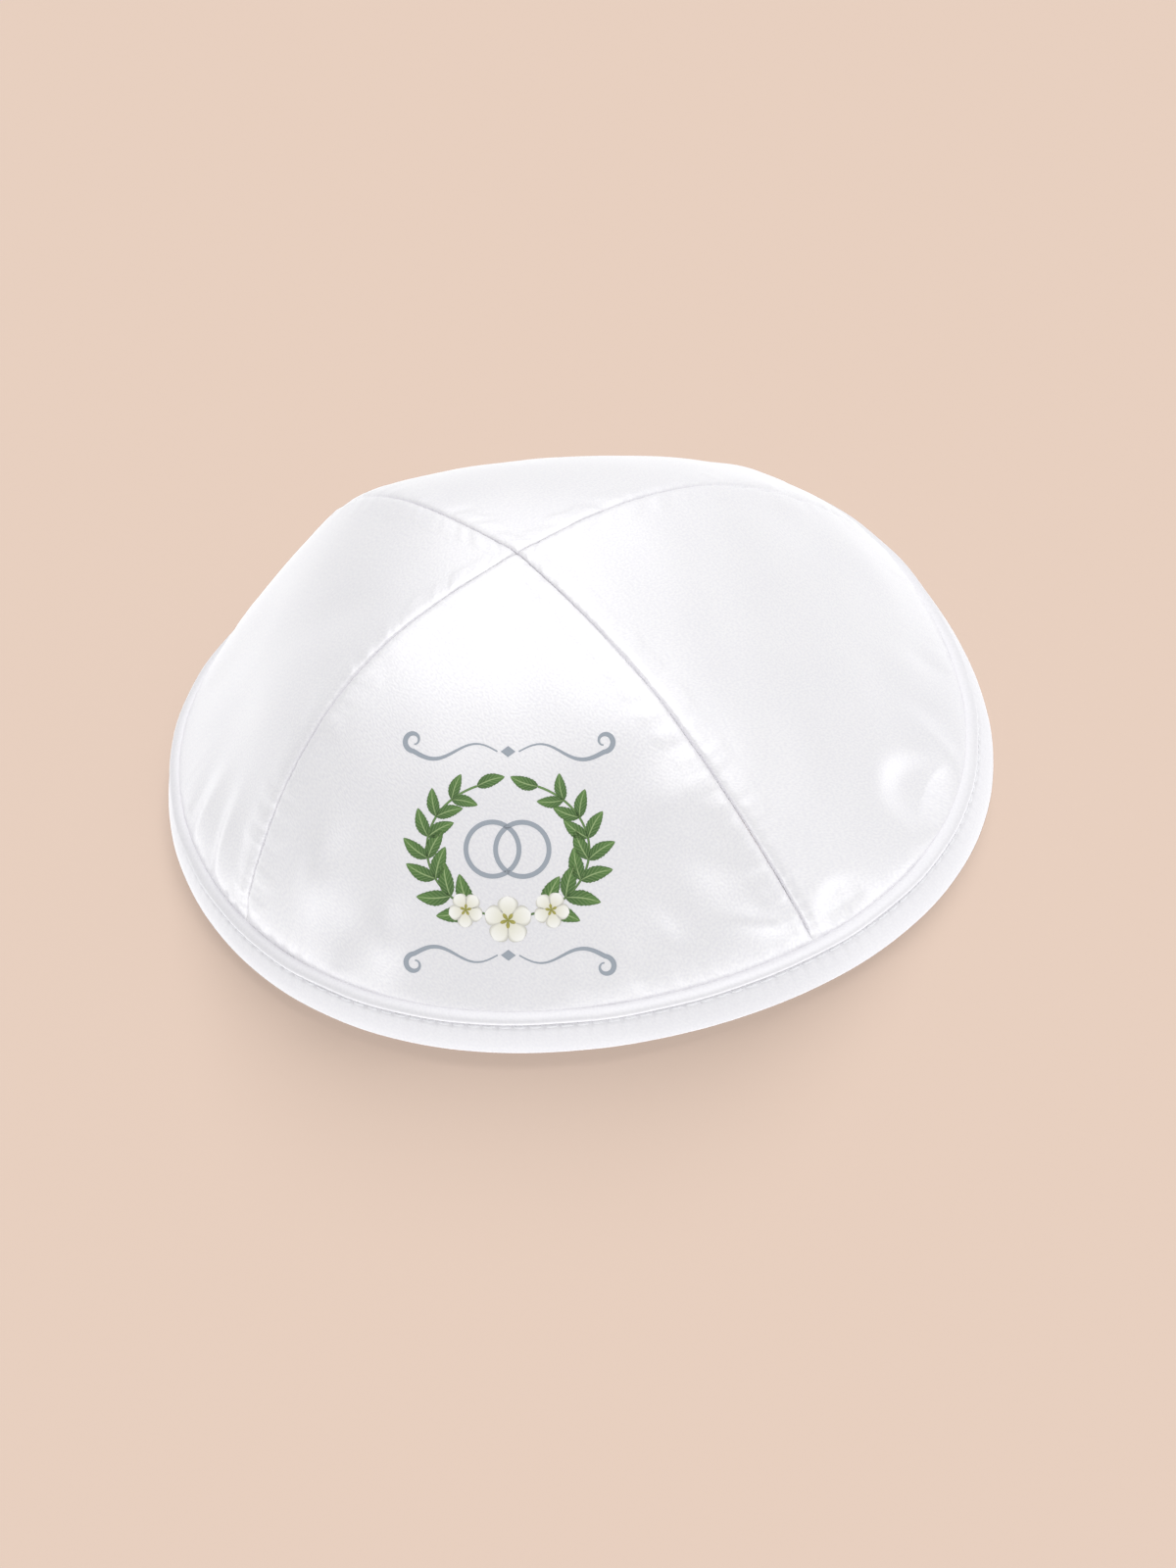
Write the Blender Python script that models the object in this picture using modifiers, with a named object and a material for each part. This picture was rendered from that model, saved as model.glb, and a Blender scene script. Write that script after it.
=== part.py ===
"""Skullcap of four sewn satin panels, with a folded binding round its rim.

Metres, +Z up. The cap stands on the flat foot of its binding. The origin is on the floor, in
the middle of the cap's outline, and the front panel faces -Y.
"""

from math import asin, atan, cos, exp, hypot, pi, radians, sin

import bpy
from mathutils import Vector

MM = 0.001

# The cap
CAP_HEIGHT = 62.0 * MM  # floor to crown
RIM_RADIUS = 90.0 * MM  # mean outer radius at the binding's foot
DOME_RADIUS = 85.2 * MM  # mean outer radius where the panels leave the binding
LEAN_X = -0.076  # sideways lean of the soft cap, metres for each metre of height
LEAN_Y = -0.110

# The panels
PANEL_WALL = 1.2 * MM
SEAM_GAP = 0.3 * MM  # between the edges of two panels
SEAM_DIP = 0.9 * MM  # how far a panel's edge rolls in at a seam
SEAM_ROLL = 4.0 * MM  # width of that rolled edge
RELIEF_START = 5.0 * MM  # folds and seam rolls grow to full size over this height

# The binding
BAND_HEIGHT = 8.3 * MM
BAND_WALL = 1.1 * MM
BAND_CLEARANCE = 0.35 * MM  # between each leg of the binding and the panels
BEAD_HEIGHT = 2.9 * MM
BEAD_PROUD = 1.2 * MM  # how far the rolled top edge stands out from the flat leg
STITCH_GROOVE = 0.9 * MM
STITCH_DEPTH = 0.3 * MM
FOOT_ROUND = 0.6 * MM
INNER_LEG_DROP = 1.8 * MM  # how much lower the inner leg ends

# Out-of-round shape of the rim: lobes, swing as a share of the radius, direction in degrees
LOBES = (
    (3, 0.0185, -42.0),
    (4, 0.0155, -19.0),
)
CROWN_LOBES = 0.22  # share of the swing that is left at the crown

# Meridians as superellipse arcs: power of the radius, power of the height, and the share of
# the radius that swells out half way up
SEAM_ARC = (0.76, 1.40, -0.05)
MIDDLE_ARC = (0.91, 1.78, -0.07)

# Power of the blend from a seam to the middle of a panel: below 1 the panel is flat between
# its seams, and at 2 it is round
RIM_BLEND = 2.0
CROWN_BLEND = 0.6

# Panels, anticlockwise from above: name, direction of its first seam in degrees
PANELS = (
    ("panel_front", -135.3),
    ("panel_right", -47.7),
    ("panel_back", 42.3),
    ("panel_left", 142.2),
)

# Soft folds and hollows. Across and up are shares of the panel, turn is in degrees from
# upright, long and wide are shares of RIM_RADIUS, rise is a share of PANEL_WALL.
# panel, across, up, turn, long, wide, rise
FOLDS = (
    ("panel_front", 0.13, 0.46, -12, 0.17, 0.10, -1.1),
    ("panel_front", 0.32, 0.19, 8, 0.10, 0.06, 0.6),
    ("panel_front", 0.58, 0.18, 0, 0.08, 0.13, -0.6),
    ("panel_front", 0.90, 0.50, 20, 0.13, 0.07, -0.6),
    ("panel_front", 0.92, 0.26, 50, 0.09, 0.06, -0.8),
    ("panel_right", 0.07, 0.17, 30, 0.09, 0.07, -0.8),
    ("panel_right", 0.33, 0.15, -40, 0.10, 0.07, -1.0),
    ("panel_right", 0.66, 0.22, 20, 0.09, 0.07, -0.6),
    ("panel_right", 0.89, 0.60, 0, 0.11, 0.09, -0.6),
    ("panel_left", 0.42, 0.25, -10, 0.16, 0.09, -0.6),
    ("panel_left", 0.76, 0.24, 0, 0.14, 0.06, 0.6),
    ("panel_left", 0.88, 0.23, 0, 0.14, 0.06, -0.6),
    ("panel_back", 0.50, 0.40, 0, 0.20, 0.18, -0.6),
)

# Fineness of the solids
PANEL_ROWS = 15
SKIRT_ROWS = 2
ROW_CROWDING = 1.4  # above 1, rows lie closer together at the crown
EDGE_COLUMNS = (0.0, 0.014, 0.034)  # shares of a panel's width, close to each seam
MIDDLE_COLUMNS = 14
RIM_SEGMENTS = 88
BEAD_POINTS = 7
LEG_POINTS = 3

# Worked out from the sizes above
BAND_OUTSIDE = BAND_CLEARANCE + BAND_WALL  # all measured out from the panels' outer face
WALL_FOOT_RADIUS = RIM_RADIUS - BAND_OUTSIDE
WALL_SLOPE = (WALL_FOOT_RADIUS - DOME_RADIUS) / BAND_HEIGHT
WALL_TILT = atan(WALL_SLOPE + hypot(LEAN_X, LEAN_Y))  # where the wall leans in most
PANEL_THROUGH = PANEL_WALL / cos(WALL_TILT)  # the leaning wall, cut level
SLOT_INSIDE = -(PANEL_THROUGH + BAND_CLEARANCE)
BAND_INSIDE = SLOT_INSIDE - BAND_WALL
SLOT_FLOOR = BAND_WALL
SKIRT_FOOT = SLOT_FLOOR + BAND_CLEARANCE + PANEL_WALL * sin(WALL_TILT)


def mix(first, second, share):
    return first + (second - first) * share


def girth(azimuth, rise):
    """Factor on the radius for the cap's out-of-round shape, fading towards the crown."""
    swing = sum(
        size * cos(lobes * (azimuth - radians(towards))) for lobes, size, towards in LOBES
    )
    return 1.0 + swing * mix(1.0, CROWN_LOBES, rise)


def placed(azimuth, radius, height):
    """Point at a radius and height, moved by the cap's lean."""
    return Vector(
        (
            radius * cos(azimuth) + LEAN_X * height,
            radius * sin(azimuth) + LEAN_Y * height,
            height,
        )
    )


def wall_radius(height):
    """Mean radius of the panels' outer face inside the binding."""
    return mix(WALL_FOOT_RADIUS, DOME_RADIUS, height / BAND_HEIGHT)


def arc_shares(up, meridian):
    """Radius and height shares on a meridian, from the binding (0) to the crown (1)."""
    radius_power, height_power, swell = meridian
    turn = up * pi / 2
    radius = max(cos(turn), 0.0) ** radius_power * (1.0 + swell * sin(2 * turn) ** 2)
    return radius, sin(turn) ** height_power


class Panel:
    """One gore between two seams; across and up run from 0 to 1, and the skirt has up < 0."""

    def __init__(self, name, first_seam, next_seam):
        self.name = name
        self.middle = radians((first_seam + next_seam) / 2)
        self.span = radians(next_seam - first_seam)
        self.tip_radius = SEAM_GAP / 2 / sin(self.span / 2)
        self.folds = [row[1:] for row in FOLDS if row[0] == name]

    def azimuth(self, across, seam_radius):
        edge = asin(min(SEAM_GAP / 2 / max(seam_radius, self.tip_radius), 1.0))
        return self.middle + (across - 0.5) * (self.span - 2 * edge)

    def smooth_point(self, across, up):
        """Point of the outer face before its seam rolls and folds."""
        if up < 0:
            height = mix(BAND_HEIGHT, SKIRT_FOOT, -up)
            azimuth = self.azimuth(across, WALL_FOOT_RADIUS)
            return placed(azimuth, girth(azimuth, 0.0) * wall_radius(height), height)
        middle_share = sin(pi * across) ** mix(RIM_BLEND, CROWN_BLEND, up)
        seam_radius, seam_rise = arc_shares(up, SEAM_ARC)
        middle_radius, middle_rise = arc_shares(up, MIDDLE_ARC)
        rise = mix(seam_rise, middle_rise, middle_share)
        azimuth = self.azimuth(across, DOME_RADIUS * seam_radius)
        radius = DOME_RADIUS * mix(seam_radius, middle_radius, middle_share)
        radius = max(radius * girth(azimuth, rise), self.tip_radius)
        return placed(azimuth, radius, mix(BAND_HEIGHT, CAP_HEIGHT, rise))

    def directions(self, across, up):
        """Unit vectors towards the next seam, up the panel, and out of its face."""
        azimuth = self.middle + (across - 0.5) * self.span
        tilt = up * pi / 2
        onward = Vector((-sin(azimuth), cos(azimuth), 0.0))
        outward = Vector((cos(azimuth) * cos(tilt), sin(azimuth) * cos(tilt), sin(tilt)))
        return onward, outward.cross(onward), outward

    def fold_height(self, point):
        """Height of all the folds at a point of the outer face."""
        total = 0.0
        for across, up, turn, long, wide, rise in self.folds:
            onward, upward, _ = self.directions(across, up)
            along = upward * cos(radians(turn)) - onward * sin(radians(turn))
            aside = onward * cos(radians(turn)) + upward * sin(radians(turn))
            offset = point - self.smooth_point(across, up)
            length_share = offset.dot(along) / (long * RIM_RADIUS)
            width_share = offset.dot(aside) / (wide * RIM_RADIUS)
            total += rise * PANEL_WALL * exp(-(length_share**2) - width_share**2)
        return total

    def seam_depth(self, point, up):
        """How far the rolled edge lies below the face, from the nearer seam's distance."""
        nearest = min((point - self.smooth_point(side, up)).length for side in (0.0, 1.0))
        return SEAM_DIP * max(1.0 - nearest / SEAM_ROLL, 0.0) ** 2

    def point(self, across, up):
        """Point of the outer face."""
        point = self.smooth_point(across, up)
        if up <= 0:
            return point
        relief = self.fold_height(point) - self.seam_depth(point, up)
        grown = min((point.z - BAND_HEIGHT) / RELIEF_START, 1.0)
        return point + self.directions(across, up)[2] * relief * grown


def panel_columns():
    """Shares of a panel's width: close together at its seams and even between them."""
    last_edge = EDGE_COLUMNS[-1]
    step = (1.0 - 2 * last_edge) / MIDDLE_COLUMNS
    middle = [last_edge + step * count for count in range(1, MIDDLE_COLUMNS)]
    return [*EDGE_COLUMNS, *middle, *(1.0 - share for share in reversed(EDGE_COLUMNS))]


def panel_rows():
    """Shares up a panel, from its skirt's foot (-1) to the crown (1)."""
    skirt = [-1.0 + count / SKIRT_ROWS for count in range(SKIRT_ROWS)]
    dome = [1.0 - (1.0 - count / PANEL_ROWS) ** ROW_CROWDING for count in range(PANEL_ROWS + 1)]
    return skirt + dome


def arc(middle_out, middle_up, radius_out, radius_up, start, end, count):
    """Points on an elliptical arc of a cross-section, from one angle to another."""
    turns = [radians(mix(start, end, step / (count - 1))) for step in range(count)]
    return [
        (middle_out + radius_out * cos(turn), middle_up + radius_up * sin(turn))
        for turn in turns
    ]


def band_section():
    """Cross-section of the binding, anticlockwise from its foot: (out, up) from the panels'
    outer face and the floor."""
    bead_out = (BAND_WALL + BEAD_PROUD) / 2
    bead_up = BEAD_HEIGHT / 2
    flat_top = BAND_HEIGHT - BEAD_HEIGHT - STITCH_GROOVE
    inner_radius = BAND_WALL / 2
    inner_top = BAND_HEIGHT - INNER_LEG_DROP - inner_radius
    inner_middle = SLOT_INSIDE - inner_radius
    outer_foot = BAND_OUTSIDE - FOOT_ROUND
    inner_foot = BAND_INSIDE + FOOT_ROUND
    return [
        *arc(outer_foot, FOOT_ROUND, FOOT_ROUND, FOOT_ROUND, -90, 0, LEG_POINTS),
        (BAND_OUTSIDE, flat_top),
        (BAND_OUTSIDE - STITCH_DEPTH, flat_top + STITCH_GROOVE / 2),
        *arc(
            BAND_CLEARANCE + bead_out,
            BAND_HEIGHT - bead_up,
            bead_out,
            bead_up,
            -70,
            180,
            BEAD_POINTS,
        ),
        (BAND_CLEARANCE, SLOT_FLOOR),
        (SLOT_INSIDE, SLOT_FLOOR),
        *arc(inner_middle, inner_top, inner_radius, inner_radius, 0, 180, LEG_POINTS),
        *arc(inner_foot, FOOT_ROUND, FOOT_ROUND, FOOT_ROUND, 180, 270, LEG_POINTS),
    ]


def material(name, colour, roughness, sheen):
    made = bpy.data.materials.new(name)
    made.use_nodes = True
    shader = made.node_tree.nodes["Principled BSDF"]
    shader.inputs["Base Color"].default_value = (*colour, 1.0)
    shader.inputs["Roughness"].default_value = roughness
    shader.inputs["Metallic"].default_value = 0.0
    shader.inputs["Sheen Weight"].default_value = sheen
    return made


def shape_vertices(piece, points):
    """Move a primitive's vertices to the points, and shade it smooth."""
    for vertex, point in zip(piece.data.vertices, points, strict=True):
        vertex.co = point
    piece.data.shade_smooth()
    piece.data.update()


def make_panel(panel, finish):
    """Grid over the panel's outer face, closed at the crown and thickened inwards."""
    columns, rows = panel_columns(), panel_rows()
    bpy.ops.mesh.primitive_grid_add(
        x_subdivisions=len(columns) - 1, y_subdivisions=len(rows) - 1, size=DOME_RADIUS
    )
    piece = bpy.context.object
    piece.name = panel.name
    shape_vertices(piece, [panel.point(across, up) for up in rows for across in columns])
    bpy.ops.object.mode_set(mode="EDIT")
    bpy.ops.mesh.select_all(action="SELECT")
    bpy.ops.mesh.remove_doubles(threshold=panel.tip_radius / 10)
    bpy.ops.object.mode_set(mode="OBJECT")
    wall = piece.modifiers.new("wall", "SOLIDIFY")
    wall.thickness = PANEL_WALL
    wall.offset = -1.0
    piece.data.materials.append(finish)
    return piece


def make_band(finish):
    """Closed ring whose cross-section follows the rim."""
    section = band_section()
    bpy.ops.mesh.primitive_torus_add(
        major_segments=RIM_SEGMENTS,
        minor_segments=len(section),
        major_radius=RIM_RADIUS,
        minor_radius=BAND_WALL,
    )
    piece = bpy.context.object
    piece.name = "rim_band"
    points = []
    for segment in range(RIM_SEGMENTS):
        azimuth = 2 * pi * segment / RIM_SEGMENTS
        around = girth(azimuth, 0.0)
        for out, up in section:
            points.append(placed(azimuth, around * wall_radius(up) + out, up))
    shape_vertices(piece, points)
    piece.data.set_sharp_from_angle(angle=radians(50))
    piece.data.materials.append(finish)
    return piece


def centre(pieces, outline):
    """Move all the pieces so that the middle of the outline piece is over the origin."""
    corners = [vertex.co for vertex in outline.data.vertices]
    middle_x = (min(co.x for co in corners) + max(co.x for co in corners)) / 2
    middle_y = (min(co.y for co in corners) + max(co.y for co in corners)) / 2
    for piece in pieces:
        piece.location = (-middle_x, -middle_y, 0.0)


def clear_scene():
    for old in list(bpy.data.objects):
        bpy.data.objects.remove(old, do_unlink=True)


def main():
    clear_scene()
    satin = material("white satin", (0.86, 0.86, 0.88), 0.38, 0.3)
    satin_bias = material("white satin bias binding", (0.87, 0.87, 0.89), 0.42, 0.3)
    seams = [first_seam for _, first_seam in PANELS] + [PANELS[0][1] + 360.0]
    pieces = []
    for number, (name, first_seam) in enumerate(PANELS):
        pieces.append(make_panel(Panel(name, first_seam, seams[number + 1]), satin))
    band = make_band(satin_bias)
    pieces.append(band)
    centre(pieces, band)
    skullcap = bpy.data.collections.new("skullcap")
    bpy.context.scene.collection.children.link(skullcap)
    for piece in pieces:
        for holder in piece.users_collection:
            holder.objects.unlink(piece)
        skullcap.objects.link(piece)


main()
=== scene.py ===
"""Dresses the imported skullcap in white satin, with its stitched binding and a printed wreath.

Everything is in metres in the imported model's frame: the cap stands on the floor at z = 0, and
its front panel faces -Y.
"""

import logging
import math
from dataclasses import dataclass
from enum import Enum

import bpy
import numpy as np
from bpy.types import Collection, Material, Node, NodeSocket, NodeTree, Object
from mathutils import Matrix, Vector
from numpy import ndarray


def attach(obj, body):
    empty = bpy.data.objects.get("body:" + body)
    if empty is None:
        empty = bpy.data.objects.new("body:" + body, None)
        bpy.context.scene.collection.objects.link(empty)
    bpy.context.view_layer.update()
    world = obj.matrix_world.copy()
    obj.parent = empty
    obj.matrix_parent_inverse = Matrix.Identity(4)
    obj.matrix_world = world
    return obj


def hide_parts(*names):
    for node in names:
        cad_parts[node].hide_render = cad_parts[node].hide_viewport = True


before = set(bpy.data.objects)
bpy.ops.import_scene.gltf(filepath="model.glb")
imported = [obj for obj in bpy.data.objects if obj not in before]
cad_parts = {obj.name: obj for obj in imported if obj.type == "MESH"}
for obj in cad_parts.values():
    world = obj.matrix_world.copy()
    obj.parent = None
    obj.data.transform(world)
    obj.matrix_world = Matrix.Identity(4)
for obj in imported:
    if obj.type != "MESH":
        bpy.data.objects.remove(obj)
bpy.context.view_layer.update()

MM = 0.001
WHOLE_TURN = np.linspace(0.0, 2 * np.pi, 2881)  # directions round the rim, in radians
log = logging.getLogger("skullcap")


def linear(hex_colour: str) -> tuple[float, float, float, float]:
    """Turns an sRGB hex colour into Blender's linear one.

    Args:
        hex_colour: six hex digits after a number sign.

    Returns:
        Linear red, green and blue, and an alpha of 1.
    """
    shares = [int(hex_colour[at : at + 2], 16) / 255 for at in (1, 3, 5)]
    bent = [s / 12.92 if s <= 0.04045 else ((s + 0.055) / 1.055) ** 2.4 for s in shares]
    return (*bent, 1.0)


def add_node(tree: NodeTree, kind: str, settings: dict, links: dict) -> Node:
    """Adds one shader node.

    Args:
        tree: the node tree it goes into.
        kind: the node's type, without its leading ShaderNode.
        settings: values by input name or number, or by attribute where no input has that name.
        links: source sockets by input name, or by number where names repeat.

    Returns:
        The new node.
    """
    node = tree.nodes.new("ShaderNode" + kind)
    for name, value in settings.items():
        if isinstance(name, str) and name not in node.inputs:
            setattr(node, name, value)
        else:
            node.inputs[name].default_value = value
    for name, source in links.items():
        tree.links.new(source, node.inputs[name])
    return node


def new_material(name: str) -> tuple[Material, Node]:
    """Makes a material with one Principled shader.

    Args:
        name: the finish's plain name.

    Returns:
        The material and its Principled node.
    """
    material = bpy.data.materials.new(name)
    material.use_nodes = True
    return material, material.node_tree.nodes["Principled BSDF"]


def roughen(material: Material, size: float, rise: float) -> None:
    """Gives a finish a fine uneven relief.

    Args:
        material: the finish.
        size: the usual width of its bumps.
        rise: their height.
    """
    tree = material.node_tree
    space = add_node(tree, "TexCoord", {}, {})
    noise = add_node(tree, "TexNoise", {"Scale": 1 / size}, {"Vector": space.outputs["Object"]})
    bump = add_node(tree, "Bump", {"Distance": rise}, {"Height": noise.outputs["Fac"]})
    tree.links.new(bump.outputs["Normal"], tree.nodes["Principled BSDF"].inputs["Normal"])


@dataclass(frozen=True)
class Satin:
    """Polyester satin: long floating threads give a soft broad sheen over a fine crepe grain."""

    name: str = "white polyester satin"
    light_colour: str = "#f8f7f9"
    deep_colour: str = "#f1f0f4"
    roughness: float = 0.34
    lustre: float = 0.42  # share of the light that the floats turn back as a metal would
    grain: float = 0.62 * MM  # drawn coarser than its real 0.2 mm threads, so that it shows
    grain_rise: float = 0.04 * MM
    grain_share: float = 0.75  # of the mottled colour, and clouds make up the rest
    cloud: float = 14.0 * MM
    stretch: float = 1.35  # how much longer than wide each float is
    slant: float = 50.0  # degrees that the floats lean to the left of the panel's height
    mottle: tuple[float, float] = (0.35, 0.65)  # where it is all deep, and all light

    def make(self) -> Material:
        """Builds the finish.

        Returns:
            The material, whose grain follows the piece's own UV map, in metres.
        """
        material, shader = new_material(self.name)
        tree = material.node_tree
        place = add_node(tree, "UVMap", {"uv_map": "cloth"}, {})
        space = add_node(tree, "TexCoord", {}, {})
        floats = {
            "vector_type": "TEXTURE",
            "Rotation": (0.0, 0.0, math.radians(self.slant)),
            "Scale": (1 / self.stretch, 1.0, 1.0),
        }
        turned = add_node(tree, "Mapping", floats, {"Vector": place.outputs["UV"]})
        grain = add_node(tree, "TexNoise", {"Scale": 1 / self.grain, "Detail": 0.0},
                         {"Vector": turned.outputs["Vector"]})
        cloud = add_node(tree, "TexNoise", {"Scale": 1 / self.cloud, "Detail": 3.0},
                         {"Vector": space.outputs["Object"]})
        mottle = add_node(tree, "Mix", {0: self.grain_share},
                          {2: cloud.outputs["Fac"], 3: grain.outputs["Fac"]})
        tone = add_node(tree, "ValToRGB", {}, {"Fac": mottle.outputs[0]})
        colours = (self.deep_colour, self.light_colour)
        for stop, place_on, colour in zip(tone.color_ramp.elements, self.mottle, colours):
            stop.position, stop.color = place_on, linear(colour)
        bump = add_node(tree, "Bump", {"Distance": self.grain_rise},
                        {"Height": grain.outputs["Fac"]})
        tree.links.new(tone.outputs["Color"], shader.inputs["Base Color"])
        tree.links.new(bump.outputs["Normal"], shader.inputs["Normal"])
        shader.inputs["Roughness"].default_value = self.roughness
        shader.inputs["Metallic"].default_value = self.lustre
        return material


@dataclass(frozen=True)
class PlainFinish:
    """A finish of one colour with a fine relief."""

    name: str
    colour: str
    roughness: float
    gloss: float  # specular level, which is 0.5 for most materials and 0 for a dead matt one
    bump_size: float
    bump_rise: float

    def make(self) -> Material:
        """Builds the finish.

        Returns:
            The material.
        """
        material, shader = new_material(self.name)
        shader.inputs["Base Color"].default_value = linear(self.colour)
        shader.inputs["Roughness"].default_value = self.roughness
        shader.inputs["Specular IOR Level"].default_value = self.gloss
        roughen(material, self.bump_size, self.bump_rise)
        return material


# spun polyester sewing thread: soft white, with a fine twist along it
THREAD = PlainFinish("white sewing thread", "#f2f2f5", 0.5, 0.5, 0.3 * MM, 0.03 * MM)
# matt seamless background paper, faintly uneven, which the two paper lamps lift to pale beige
PAPER = PlainFinish("pale beige background paper", "#97877c", 0.95, 0.0, 2.0 * MM, 0.01 * MM)


@dataclass(frozen=True)
class Ink:
    """Transfer ink pressed into satin: a thin matt film that keeps the cloth's grain.

    The colours run over the shape's own UV map, which goes from 0 at its root to 1 at its tip,
    and from -1 to 1 from side to side.
    """

    name: str
    root_colour: str
    tip_colour: str
    edge_colour: str
    edge_start: float = 0.55  # share of the half width where the edge colour begins
    veins: int = 0
    vein_colour: str = "#9db57c"
    vein_slant: float = 0.28  # how far a side vein runs towards the tip on its way out
    vein_fade: tuple[float, float, float] = (0.0, 0.14, 0.55)  # start, end and share shown
    rib_fade: tuple[float, float, float] = (0.05, 0.12, 0.9)
    roughness: float = 0.5
    grain: float = 0.6 * MM  # the cloth's, through the ink
    grain_rise: float = 0.03 * MM

    def make(self) -> Material:
        """Builds the finish.

        Returns:
            The material.
        """
        material, shader = new_material(self.name)
        tree = material.node_tree
        place = add_node(tree, "UVMap", {"uv_map": "cloth"}, {})
        parts = add_node(tree, "SeparateXYZ", {}, {"Vector": place.outputs["UV"]})
        side = add_node(tree, "Math", {"operation": "ABSOLUTE"}, {0: parts.outputs["Y"]})
        ends = {"data_type": "RGBA", 6: linear(self.root_colour), 7: linear(self.tip_colour)}
        body = add_node(tree, "Mix", ends, {0: parts.outputs["X"]})
        rise = {"interpolation_type": "SMOOTHSTEP", "From Min": self.edge_start, "From Max": 1.0}
        near_edge = add_node(tree, "MapRange", rise, {"Value": side.outputs[0]})
        colour = add_node(tree, "Mix", {"data_type": "RGBA", 7: linear(self.edge_colour)},
                          {0: near_edge.outputs["Result"], 6: body.outputs[2]})
        if self.veins:
            shown = self.veining(tree, parts.outputs["X"], side.outputs[0])
            colour = add_node(tree, "Mix", {"data_type": "RGBA", 7: linear(self.vein_colour)},
                              {0: shown, 6: colour.outputs[2]})
        tree.links.new(colour.outputs[2], shader.inputs["Base Color"])
        shader.inputs["Roughness"].default_value = self.roughness
        roughen(material, self.grain, self.grain_rise)
        return material

    def veining(self, tree: NodeTree, along: NodeSocket,
                side: NodeSocket) -> NodeSocket:
        """Draws a leaf's middle rib and its slanting side veins.

        Args:
            tree: the finish's node tree.
            along: share of the way from root to tip.
            side: share of the way from the middle to the edge.

        Returns:
            How much of the vein colour shows.
        """
        slant = add_node(tree, "Math", {"operation": "MULTIPLY_ADD", 1: -self.vein_slant},
                         {0: side, 2: along})
        phase = add_node(tree, "Math", {"operation": "MULTIPLY", 1: float(self.veins)},
                         {0: slant.outputs[0]})
        saw = add_node(tree, "Math", {"operation": "PINGPONG", 1: 0.5}, {0: phase.outputs[0]})
        fades = []
        for value, fade in ((saw.outputs[0], self.vein_fade), (side, self.rib_fade)):
            ends = dict(zip(("From Min", "From Max", "To Min", "To Max"), (*fade, 0.0)))
            fades.append(add_node(tree, "MapRange", ends, {"Value": value}).outputs["Result"])
        return add_node(tree, "Math", {"operation": "MAXIMUM"}, dict(enumerate(fades))).outputs[0]


def sewn_grid(name: str, points: ndarray, cloth: ndarray) -> Object:
    """Shapes a grid by its points, and sews together the edges that meet.

    Args:
        name: the piece's name.
        points: the grid's points by row, column and axis.
        cloth: the same points' places on the flat cloth, in metres.

    Returns:
        The piece, with its faces outwards and its UV map named cloth.
    """
    rows, columns = points.shape[:2]
    bpy.ops.object.select_all(action="DESELECT")
    bpy.ops.mesh.primitive_grid_add(x_subdivisions=columns - 1, y_subdivisions=rows - 1)
    piece = bpy.context.object
    piece.name = piece.data.name = name
    piece.data.vertices.foreach_set("co", points.reshape(-1))
    corners = np.empty(len(piece.data.loops), dtype=np.int32)
    piece.data.loops.foreach_get("vertex_index", corners)
    piece.data.uv_layers[0].name = "cloth"
    piece.data.uv_layers[0].data.foreach_set("uv", cloth.reshape(-1, 2)[corners].reshape(-1))
    bpy.ops.object.mode_set(mode="EDIT")
    bpy.ops.mesh.select_all(action="SELECT")
    bpy.ops.mesh.remove_doubles(threshold=0.002 * MM)
    bpy.ops.mesh.normals_make_consistent(inside=False)
    bpy.ops.object.mode_set(mode="OBJECT")
    return piece


def mix(first: ndarray, second: ndarray, share: ndarray) -> ndarray:
    """Goes a share of the way from the first value to the second."""
    return first + (second - first) * share


def run_along(line: ndarray) -> ndarray:
    """Distances from a line's first point to each of its points, along the line."""
    steps = np.linalg.norm(np.diff(line, axis=0), axis=-1)
    return np.concatenate([[0.0], np.cumsum(steps)])


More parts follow.
